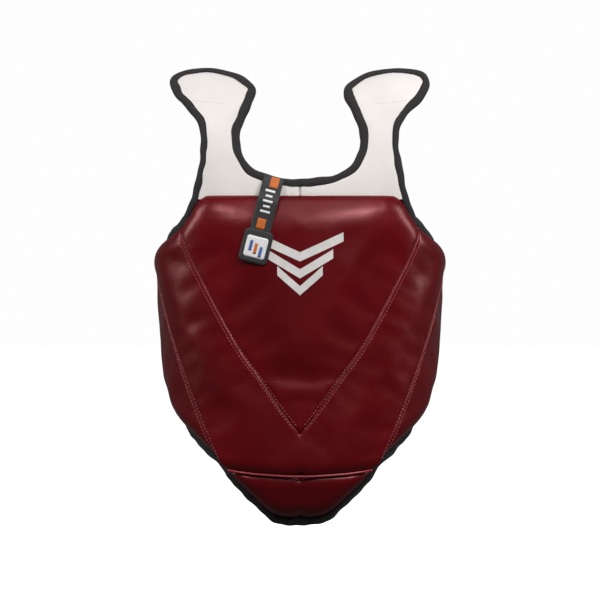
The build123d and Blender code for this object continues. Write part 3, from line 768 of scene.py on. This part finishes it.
def ring_faces(count, around):
    """Faces of a closed tube of count rings, each of around points."""
    faces = []
    for i in range(count - 1):
        for j in range(around):
            k = (j + 1) % around
            faces.append((i * around + j, i * around + k, (i + 1) * around + k, (i + 1) * around + j))
    return faces + [tuple(range(around)), tuple(reversed(range((count - 1) * around, count * around)))]


def binding(name, curve, low, high, width, seed, outward=1.0):
    """Folded tape round an edge. curve runs along the edge in the pattern, with the body on its right."""
    curve = even(curve, 2.2)
    length = running_length(curve)
    point, normal = surface_frame(curve[:, 0], curve[:, 1], (low + high) / 2)
    inward = np.cross(unit(np.gradient(point, axis=0)), normal) * outward
    steady = np.clip(np.minimum(length, length[-1] - length) / 12, 0, 1)
    point = point + inward * (steady * waver(length, 1.0, seed + 2))[:, None]
    lip = width + steady * waver(length, 1.3, seed)
    swell_by = steady * waver(length, 0.9, seed + 1)
    half_height = (high - low) / 2
    rows = []
    for across, rise in TAPE_PROFILE:
        bulge = (half_height + swell_by * 0.5) * rise
        rows.append(point + inward * (lip * across)[:, None] + normal * bulge[:, None])
    rows = np.array(rows)
    around, count = rows.shape[:2]
    points = rows.transpose(1, 0, 2).reshape(-1, 3)
    spread = np.linspace(0, 2 * width + high - low, around)
    uvs = np.stack([np.repeat(length, around), np.tile(spread, count)], axis=1)
    piece = make_object(name, points, ring_faces(count, around), uvs)
    fix_normals(piece)
    return dress(piece, TAPE)


def fix_normals(piece):
    """Faces all look outwards on a closed mesh."""
    work = bmesh.new()
    work.from_mesh(piece.data)
    bmesh.ops.recalc_face_normals(work, faces=work.faces)
    work.to_mesh(piece.data)
    work.free()


def edge_binding(name, side, extra=14.0):
    """Binding from the middle of the neckline, round the cap, to where the armhole goes behind the pad."""
    curve = upper_half(0.0)
    ahead = curve[-1] - curve[-4]
    curve = half(np.vstack([curve, curve[-1] + ahead / np.hypot(*ahead) * extra]), side)
    piece = binding(f"edge_binding_{name}", curve, -1.4, YOKE_PAD + 1.2, BINDING, 11 + side, side)
    cap_blend(piece)
    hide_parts("neck_binding", f"armhole_binding_{name}", f"cap_binding_{name}")


def hem_binding(name, side):
    """Binding from the crease, under the pad's lower edge, to the rear corner of the wing."""
    piece = binding(f"hem_binding_{name}", half(hem_line(), side), -1.2, 6.0, BINDING, 31 + side, -side)
    wing_blend(piece)
    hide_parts(f"wing_binding_{name}")


def groin_binding():
    curve = beside(both_halves(FLAP_CURVE[::-1]), 10.0)
    piece = binding("groin_flap_binding", curve, -1.2, 7.0, BINDING + 1.5, 51, -1.0)
    flap_blend(piece)
    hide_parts("groin_binding")


def tube(name, points, radius, around=10):
    """Round cord through points in millimetres."""
    step = unit(np.gradient(points, axis=0))
    side_way = unit(np.cross(step, (0, 0, 1.0)))
    up = np.cross(side_way, step)
    rows = []
    for turn in np.linspace(0, 2 * math.pi, around, endpoint=False):
        rows.append(points + radius * (math.cos(turn) * side_way + math.sin(turn) * up))
    grid = np.array(rows).transpose(1, 0, 2).reshape(-1, 3)
    piece = make_object(name, grid, ring_faces(len(points), around))
    fix_normals(piece)
    return piece


def piping():
    curve = both_halves(CREASE_CURVE[::-1])[4:-4]
    length = running_length(curve)
    points = surface(curve[:, 0], curve[:, 1], 20.5 + waver(length, 0.3, 7))
    piece = tube("crease_piping_cord", points, 1.8)
    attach(piece, "front")
    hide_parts("crease_piping")
    # The cord wears the red that carries the painted highlight along the crease.
    dress(piece, PIPING_PAINTED_HIGHLIGHT)


def resting_on(*pieces, above=PAD + 14.0, drop=17.0):
    """A function that gives the points where pattern places meet the outside of the pieces, from above.

    A place with no piece below it gets the point that is drop below the start.
    """
    trees = []
    for piece in pieces:
        corners = [v.co.copy() for v in piece.data.vertices]
        trees.append(BVHTree.FromPolygons(corners, [tuple(p.vertices) for p in piece.data.polygons]))

    def resting(places):
        start, normal = surface_frame(places[:, 0], places[:, 1], above)
        points = surface(places[:, 0], places[:, 1], above - drop)
        for i, (origin, outward) in enumerate(zip(start, normal)):
            hits = [tree.ray_cast(Vector(origin) * MM, -Vector(outward)) for tree in trees]
            hits = [hit for hit in hits if hit[0] is not None]
            if hits:
                points[i] = np.array(min(hits, key=lambda hit: hit[3])[0]) / MM
        return points, normal

    return resting


def stitches(name, curves, resting, finish, length=3.1, gap=1.5, thick=0.55):
    """A row of stitches along each curve, sunk a little into the cover. Each has four rings of points."""
    points, faces = [], []
    for curve in curves:
        for begin in np.arange(2.0, running_length(curve)[-1] - 3.0, length + gap):
            point, normal = resting(at_lengths(curve, np.linspace(begin, begin + length, 4)))
            across = np.cross(normal, unit(np.gradient(point, axis=0)))
            faces += [tuple(len(points) + i for i in face) for face in ring_faces(4, 6)]
            for i, lift in enumerate((-0.35, 0.28, 0.28, -0.35)):
                for turn in np.linspace(0, 2 * math.pi, 6, endpoint=False):
                    points.append(point[i] + thick * (math.cos(turn) * across[i]
                                  + (math.sin(turn) * 0.8 + lift) * normal[i]))
    places = np.array(points)
    piece = make_object(name, places, faces, places[:, [0, 2]])
    fix_normals(piece)
    return dress(piece, finish)


def beside(curve, by):
    """A curve moved to its right in the pattern."""
    return curve + right_of(curve) * by


# ---------------------------------------------------------------- straps, patches and the tag
def band(name, centre, normal, thick, uvs, finish):
    """Flat strap or patch from a grid of middle points: two faces and an edge that thins a little."""
    rows, columns = centre.shape[:2]
    share = np.ones((rows, columns, 1))
    share[[0, -1], :] = share[:, [0, -1]] = 0.55
    top = centre + normal * thick / 2 * share
    bottom = centre - normal * thick / 2 * share
    faces = []
    for i in range(rows - 1):
        for j in range(columns - 1):
            a, b = i * columns + j, i * columns + j + 1
            faces.append((a, b, b + columns, a + columns))
    points = np.vstack([top.reshape(-1, 3), bottom.reshape(-1, 3)])
    flat_uvs = uvs.reshape(-1, 2)
    piece = make_object(name, points, closed(faces, rows * columns),
                        np.vstack([flat_uvs, flat_uvs]))
    fix_normals(piece)
    return dress(piece, finish)


def back_surface(x, z, offset):
    """Point and outward direction on the back, at x and z."""
    def at(x):
        share = 1 - (abs(x) / half_width(z, offset)) ** PLAN_POWER
        return np.stack([x, half_depth(z, offset) * share ** (1 / PLAN_POWER), z + 0 * x], axis=-1)
    point, slope = at(x), at(x + 1.0) - at(x - 1.0)
    return point, unit(np.stack([-slope[..., 1], slope[..., 0], 0 * slope[..., 0]], axis=-1))


def back_patch(name, x0, x1, z0, z1, offset, thick, finish, slot, spacing=3.0):
    """Rectangular piece lying along the back at an offset."""
    xs = np.linspace(x0, x1, max(4, int(abs(x1 - x0) / spacing)))
    zs = np.linspace(z0, z1, max(4, int(abs(z1 - z0) / spacing)))
    xs, zs = np.meshgrid(xs, zs)
    point, normal = back_surface(xs, zs, offset)
    return band(name, point, normal, thick, np.stack([xs, zs], axis=-1), finish)


def box_mm(node):
    low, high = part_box(node)
    return np.array(low) / MM, np.array(high) / MM


def patch_like(node, name, offset, thick, body, finish=WEBBING, slot="webbing"):
    """A piece on the back that stands for a CAD patch, at the same place and size."""
    low, high = box_mm(node)
    piece = back_patch(name, low[0], high[0], low[2], high[2], offset, thick, finish, slot)
    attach(piece, body)
    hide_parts(node)


def closures(strap_offset=PAD + 1.6, thick=2.2):
    """Closure straps across the back with their anchors, hook tabs and loop patches."""
    for name in ("upper", "lower"):
        strap, tab = f"closure_strap_{name}", f"closure_tab_{name}"
        patch_like(strap, f"closure_webbing_{name}", strap_offset, thick, strap)
        patch_like(tab, f"closure_tab_end_{name}", strap_offset, thick, tab)
        patch_like(f"closure_hook_{name}", f"closure_hook_tape_{name}", PAD - 0.1, 1.0, tab, HOOK,
                   "hook_tape")
        patch_like(f"closure_anchor_{name}", f"closure_anchor_patch_{name}", PAD + 2.2, 3.4, "wing_left")
        patch_like(f"closure_loop_{name}", f"closure_loop_patch_{name}", PAD + 1.2, thick, "wing_right",
                   HOOK, "hook_tape")
        cross_stitch(f"closure_anchor_{name}", f"anchor_stitch_{name}", PAD + 4.0, "wing_left")


def yoke_stitches(name, side, yoke_piece):
    """Stitches across the cap's fold and along the yoke's lower edge, above the chest pad."""
    fold = smooth(pattern([(141, 303), (120, 300), (96, 298)], YOKE_PAD))
    low_v = float(v_of(PAD_TOP_Z + 2.5))
    low = even(np.array([(6.0, low_v), (122.0, low_v)]))
    rows = [half(fold, side), half(low, side)]
    piece = stitches(f"yoke_stitches_{name}", rows, resting_on(yoke_piece, above=YOKE_PAD + 4.0),
                     CREAM_THREAD, 2.4, 1.6, 0.4)
    cap_blend(piece)


def cross_stitch(node, name, offset, body, margin=4.0):
    """The sewn box with a cross that holds a strap's end."""
    low, high = box_mm(node)
    x0, x1, z0, z1 = low[0] + margin, high[0] - margin, low[2] + margin, high[2] - margin
    corners = [(x0, z0), (x1, z0), (x1, z1), (x0, z1), (x0, z0), (x1, z1), (x0, z1), (x1, z0)]
    curves = [even(np.array(pair, float), 2.0) for pair in zip(corners, corners[1:])]
    piece = stitches(name, curves, lambda places: back_surface(places[:, 0], places[:, 1], offset),
                     BLACK_THREAD)
    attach(piece, body)


STRAP_OFFSET, STRAP_WIDTH, STRAP_THICK = -3.5, 38.0, 2.4
STRAP_CAP_X, STRAP_BACK_X = 116.0, 104.0
STRAP_TOP_ANGLE, STRAP_FLAT_ANGLE = 62.0, 95.0
STRAP_CURVE_START, STRAP_CURVE_RISE, STRAP_END_Z, STRAP_FLAT_LOW_Z = 185.0, 145.0, 60.0, 108.0
STRAP_HOOK_X, STRAP_HOOK_Z = (STRAP_BACK_X - 16, STRAP_BACK_X + 16), (63, 94)
STRAP_LOOP_X, STRAP_LOOP_Z = (STRAP_BACK_X - 22, STRAP_BACK_X + 22), (44, 96)
STRAP_ANCHOR_WIDTH, STRAP_ANCHOR_Z, STRAP_TAPE_THICK = 44.0, (299, 324), 0.9


def ease(share):
    share = np.clip(share, 0, 1)
    return share * share * (3 - 2 * share)


def strap_line(angle):
    """Middle of the left back strap and its slope across, at an angle round the shoulder, in degrees."""
    share = ease((angle - STRAP_TOP_ANGLE) / (STRAP_FLAT_ANGLE - STRAP_TOP_ANGLE))
    start = SHOULDER_START + (STRAP_CURVE_START - SHOULDER_START) * share
    rise = (SHOULDER_RISE + STRAP_OFFSET) * (1 - share) + STRAP_CURVE_RISE * share
    turn = math.radians(angle)
    z = start + rise * math.sin(turn)
    turned = ease((angle - STRAP_TOP_ANGLE) / (180 - STRAP_TOP_ANGLE))
    x = STRAP_CAP_X + (STRAP_BACK_X - STRAP_CAP_X) * turned
    width = half_width(min(z, SHOULDER_START) if angle > 90 else z, STRAP_OFFSET)
    depth = -(HALF_DEPTH + STRAP_OFFSET) * math.cos(turn)
    plan = [(1 - (place / width) ** PLAN_POWER) ** (1 / PLAN_POWER) for place in (x - 1, x, x + 1)]
    return np.array([x, depth * plan[1], z]), depth * (plan[2] - plan[0]) / 2


def back_strap(name, side):
    """Elastic strap from under the cap, over the shoulder and down inside the wing."""
    places = [strap_line(angle) for angle in np.linspace(STRAP_TOP_ANGLE, 180, 60)]
    foot, slope = places[-1]
    for z in np.linspace(STRAP_CURVE_START, STRAP_END_Z, 44)[1:]:
        places.append((np.array([foot[0], foot[1], z]), slope))
    line = np.array([place for place, _ in places])
    across = unit(np.array([(1.0, slope, 0.0) for _, slope in places]))
    outward = unit(np.cross(np.gradient(line, axis=0), across))
    columns = np.linspace(-STRAP_WIDTH / 2, STRAP_WIDTH / 2, 13)
    grid = line[:, None, :] + across[:, None, :] * columns[None, :, None]
    normals = np.repeat(outward[:, None, :], len(columns), axis=1)
    lies, lying_normal = back_surface(grid[..., 0], grid[..., 2], STRAP_OFFSET)
    share = ease((STRAP_FLAT_LOW_Z - line[:, 2]) / 8.0) * (np.arange(len(line)) > 60)
    grid = grid + (lies - grid) * share[:, None, None]
    normals = normals + (lying_normal * np.sign(np.sum(lying_normal * normals, axis=-1, keepdims=True))
                         - normals) * share[:, None, None]
    flip_side = np.array([side, 1, 1])
    length = running_length(line[:, 1:])
    uvs = np.stack(np.meshgrid(columns, length), axis=-1)
    piece = band(f"back_strap_webbing_{name}", grid * flip_side, normals * flip_side, STRAP_THICK, uvs,
                 WEBBING)
    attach(piece, f"back_strap_{name}")
    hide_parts(f"back_strap_{name}")
    strap_tapes(name, side)


def strap_tapes(name, side):
    """Hook tape on the strap's end, its loop patch inside the wing, and the anchor under the cap."""
    hook = back_patch(f"strap_hook_tape_{name}", *(side * x for x in STRAP_HOOK_X), *STRAP_HOOK_Z,
                      STRAP_OFFSET + 1.7, STRAP_TAPE_THICK, HOOK, "hook_tape")
    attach(hook, f"back_strap_{name}")
    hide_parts(f"back_strap_hook_{name}")
    loop = back_patch(f"strap_loop_patch_{name}", *(side * x for x in STRAP_LOOP_X), *STRAP_LOOP_Z,
                      -0.5, STRAP_TAPE_THICK, HOOK, "hook_tape")
    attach(loop, f"wing_{name}")
    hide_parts(f"back_strap_loop_{name}")
    low_z, high_z = STRAP_ANCHOR_Z
    middle_u = float(u_of(STRAP_CAP_X, (low_z + high_z) / 2, 0))
    us = np.linspace(middle_u - STRAP_ANCHOR_WIDTH / 2, middle_u + STRAP_ANCHOR_WIDTH / 2, 12)
    us, vs = np.meshgrid(us, np.linspace(float(v_of(low_z)), float(v_of(high_z)), 12))
    point, normal = surface_frame(us, vs, -2.3)
    flip_side = np.array([side, 1, 1])
    anchor = band(f"strap_anchor_patch_{name}", point * flip_side, normal * flip_side, 3.4,
                  np.stack([us, vs], axis=-1), WEBBING)
    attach(anchor, f"cap_{name}")
    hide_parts(f"strap_anchor_{name}")


TAG_TOP_X, TAG_TOP_Z, TAG_LEAN = -33.5, 200.5, math.radians(14.5)
TAG_TOP_Y, TAG_HANG_Y = -(HALF_DEPTH + YOKE_PAD + 2.4), -(HALF_DEPTH + PAD + 3.4)
RIBBON_WIDTH, RIBBON_LENGTH, BADGE_WIDTH, BADGE_LENGTH, PATCH_SIZE = 27.0, 74.0, 38.0, 42.0, 28.0
BAR_LENGTH, MARK_THICK = 14.0, 0.3


def tag_point(across, down, lift):
    """Point on the tag: across it, down from the neckline, and lifted off its face."""
    y = TAG_TOP_Y + (TAG_HANG_Y - TAG_TOP_Y) * ease(down / 34.0) - lift
    x = TAG_TOP_X + across * math.cos(TAG_LEAN) - down * math.sin(TAG_LEAN)
    z = TAG_TOP_Z - across * math.sin(TAG_LEAN) - down * math.cos(TAG_LEAN)
    return np.stack([x, y, z], axis=-1)


def tag_sheet(name, width, start, end, lift, thick, finish, corner=0.0, middle=0.0):
    """Part of the tag between two distances down from the neckline."""
    columns = np.linspace(-1, 1, 15)
    rows = np.linspace(start, end, max(3, int((end - start) / 2)))
    shares, downs = np.meshgrid(columns, rows)
    from_end = np.minimum(downs - start, end - downs)
    arc = np.sqrt(np.maximum(0, corner**2 - (corner - from_end) ** 2))
    tuck = np.where(from_end < corner, corner - arc, 0)
    across = middle + shares * (width / 2 - tuck)
    point = tag_point(across, downs, lift)
    normal = np.zeros_like(point)
    normal[..., 1] = -1
    return band(name, point, normal, thick, np.stack([across, downs], axis=-1), finish)


def tag():
    """Woven ribbon on the neckline with a badge at its end. Its marks are plain bars and dashes."""
    badge_end = RIBBON_LENGTH + BADGE_LENGTH
    pieces = [
        tag_sheet("tag_ribbon_weave", RIBBON_WIDTH, -0.5, RIBBON_LENGTH, 0, 1.1, RIBBON),
        tag_sheet("tag_badge_weave", BADGE_WIDTH, RIBBON_LENGTH - 2, badge_end, 0.2, 1.8, RIBBON,
                  corner=6.0),
        tag_sheet("tag_badge_patch", PATCH_SIZE, badge_end - 7 - PATCH_SIZE, badge_end - 7, 1.3, 0.5,
                  WHITE_WEAVE, corner=2.0),
    ]
    for index, (start, middle) in enumerate(((0.5, 2.5), (57.0, -1.0))):
        pieces.append(tag_sheet(f"tag_orange_bar_{index}", 11, start, start + BAR_LENGTH, 0.7, MARK_THICK,
                                ORANGE, middle=middle))
    for index in range(5):
        start = 18.0 + 7.0 * index
        pieces.append(tag_sheet(f"tag_dash_{index}", 13 - 4 * (index % 2), start, start + 3, 0.7,
                                MARK_THICK, WHITE_WEAVE))
    for index, finish in enumerate((BLUE_WEAVE, ORANGE, BLUE_WEAVE)):
        start = RIBBON_LENGTH + 13 + 3 * index
        pieces.append(tag_sheet(f"tag_patch_bar_{index}", 4, start, start + BAR_LENGTH, 1.7, MARK_THICK,
                                finish, middle=7.0 * (index - 1)))
    for piece in pieces:
        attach(piece, "tag")
    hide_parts("tag_ribbon")
    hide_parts("tag_badge")
    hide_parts("tag_patch")


# ---------------------------------------------------------------- chest emblem
# Height of the middle chevron, steps down and in from one to the next, and the top one's size
EMBLEM_Z, EMBLEM_STEP = 92.0, 22.0
EMBLEM_HALF_WIDTH, EMBLEM_TAPER, EMBLEM_BAR, EMBLEM_RISE = 54.0, 13.0, 12.0, 26.0
FILM_ABOVE, FILM_BELOW = 0.28, 0.5


def chevron(step):
    """Corners of one of the emblem's chevrons, in front view."""
    point_z = EMBLEM_Z + EMBLEM_STEP * (1 - step) - EMBLEM_BAR
    wide, top = EMBLEM_HALF_WIDTH - EMBLEM_TAPER * step, point_z + EMBLEM_RISE
    return [(0, point_z), (wide, top), (wide, top - EMBLEM_BAR), (0, point_z - EMBLEM_BAR),
            (-wide, top - EMBLEM_BAR), (-wide, top)]


def emblem(chest_piece):
    """Printed film: three chevrons, each narrower than the one above."""
    resting = resting_on(chest_piece)
    for step in range(3):
        corners = chevron(step)
        sides = [even(np.array(pair, float), 2.5) for pair in zip(corners, corners[1:] + corners[:1])]
        places, faces = triangulate(pattern(joined(*sides), PAD), 3.4)
        point, normal = resting(places)
        layers = np.vstack([point + normal * FILM_ABOVE, point - normal * FILM_BELOW])
        film = make_object(f"emblem_chevron_{step}", layers, closed(faces, len(places)),
                           np.vstack([places, places]))
        fix_normals(film)
        film.data.set_sharp_from_angle(angle=SHARP)
        dress(film, PRINT)
        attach(film, "front")
        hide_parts("chest_emblem")


# ---------------------------------------------------------------- stage
# Area lights: name, place, target and size in metres, and watts
AREA_LIGHTS = [
    ("top_right", (1.0, -1.8, 1.5), (0.05, -0.1, 0.15), (0.45, 0.45), 24),
    ("front_high", (0.45, -2.2, 1.15), (0.05, -0.1, 0.1), (0.35, 0.35), 9),
    ("top_left", (-1.2, -1.7, 1.4), (-0.05, -0.1, 0.15), (0.4, 0.45), 15),
    ("side_left", (-1.5, -0.2, 0.6), (0, -0.1, 0.05), (0.3, 0.9), 9),
    ("side_right", (1.5, -0.2, 0.6), (0, -0.1, 0.05), (0.3, 0.9), 9),
    ("behind", (0.3, 1.6, 1.8), (0, 0.0, 0.1), (1.2, 1.2), 9),
]
SKY_WAY, SKY_ANGLE, SKY_STRENGTH = Vector((-0.13, 0.66, -0.88)), math.radians(50), 0.98


def in_scene(name, data):
    """A light or a camera as an object in the scene."""
    made = bpy.data.objects.new(name, data)
    bpy.context.scene.collection.objects.link(made)
    return made


def lights():
    sun = bpy.data.lights.new("sky_panel", "SUN")
    sun.energy = SKY_STRENGTH
    sun.angle = SKY_ANGLE
    sky = in_scene("sky_panel", sun)
    sky.rotation_euler = SKY_WAY.to_track_quat("-Z", "Y").to_euler()
    for name, place, target, size, watts in AREA_LIGHTS:
        data = bpy.data.lights.new(name, "AREA")
        data.shape = "RECTANGLE"
        data.size, data.size_y = size
        data.energy = watts
        light = in_scene(name, data)
        light.location = place
        light.rotation_euler = (Vector(target) - Vector(place)).to_track_quat("-Z", "Y").to_euler()


def white_floor(radius=40.0, below=0.04):
    """A wide white disc below the object, which the object doesn't mirror."""
    floor_z = CAD_BOX[0][2] - below
    around = np.linspace(0, 2 * math.pi, 96, endpoint=False)
    rim = [(radius * math.cos(turn) / MM, radius * math.sin(turn) / MM, floor_z / MM) for turn in around]
    floor = make_object("floor", rim, [tuple(range(len(rim)))])
    paper = moulded("floor_paper", (0.94, 0.94, 0.94), 0.8)
    shader = paper.node_tree.nodes["Principled BSDF"]
    set_inputs(shader, Emission_Color=(1, 1, 1, 1), Emission_Strength=0.78)
    floor.data.materials.append(paper)
    floor.visible_diffuse = floor.visible_glossy = False


def white_world(seen_strength=0.985, given_strength=0.10):
    """A world that looks white to the camera and lights the object weakly."""
    world = bpy.data.worlds.new("world")
    world.use_nodes = True
    nodes, link = world.node_tree.nodes, world.node_tree.links.new
    seen, given = nodes.new("ShaderNodeBackground"), nodes["Background"]
    set_inputs(seen, Color=(1, 1, 1, 1), Strength=seen_strength)
    set_inputs(given, Color=(1, 1, 1, 1), Strength=given_strength)
    either = nodes.new("ShaderNodeMixShader")
    link(nodes.new("ShaderNodeLightPath").outputs["Is Camera Ray"], either.inputs["Fac"])
    link(given.outputs[0], either.inputs[1])
    link(seen.outputs[0], either.inputs[2])
    link(either.outputs[0], nodes["World Output"].inputs["Surface"])
    bpy.context.scene.world = world


def studio(middle_z=0.040, width_seen=0.78, away=9.0):
    """White floor and world, soft light from above and both sides, and a distant camera in front."""
    scene = bpy.context.scene
    camera = bpy.data.cameras.new("camera")
    camera.sensor_width = 36
    camera.lens = 36 * away / width_seen
    holder = in_scene("camera", camera)
    holder.location = (0, -0.13 - away, middle_z)
    holder.rotation_euler = (math.pi / 2, 0, 0)
    scene.camera = holder
    scene.view_settings.view_transform = "Standard"
    white_floor()
    white_world()
    lights()


# ---------------------------------------------------------------- assembly
def main():
    studio()
    chest_piece = chest()
    midriff_piece = midriff()
    groin()
    pads = {name: wing(name, side) for name, side in SIDES.items()}
    groin_lining()
    groin_binding()
    piping()
    front_rest = resting_on(chest_piece, midriff_piece)
    v_lines = [beside(V_CURVE, by)[4:-3] for by in (-3.0, 3.0)]
    v_lines += [flip(line) for line in v_lines]
    rows = stitches("seam_stitches_front", v_lines, front_rest, THREAD)
    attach(rows, "front")
    for name, side in SIDES.items():
        yoke_stitches(name, side, yoke(name, side))
        front_lining(name, side)
        wing_lining(name, side)
        edge_binding(name, side)
        hem_binding(name, side)
        seam_rest = resting_on(midriff_piece, pads[name])
        seams = [half(beside(SIDE_SEAM, by), side)[4:-4] for by in (-3.0, 3.0)]
        rows = stitches(f"seam_stitches_{name}", seams, seam_rest, THREAD)
        wing_blend(rows)
        back_strap(name, side)
        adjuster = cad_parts[f"adjuster_{name}"]
        adjuster.data.materials.clear()
        adjuster.data.materials.append(PLASTIC)
    closures()
    tag()
    emblem(chest_piece)


main()
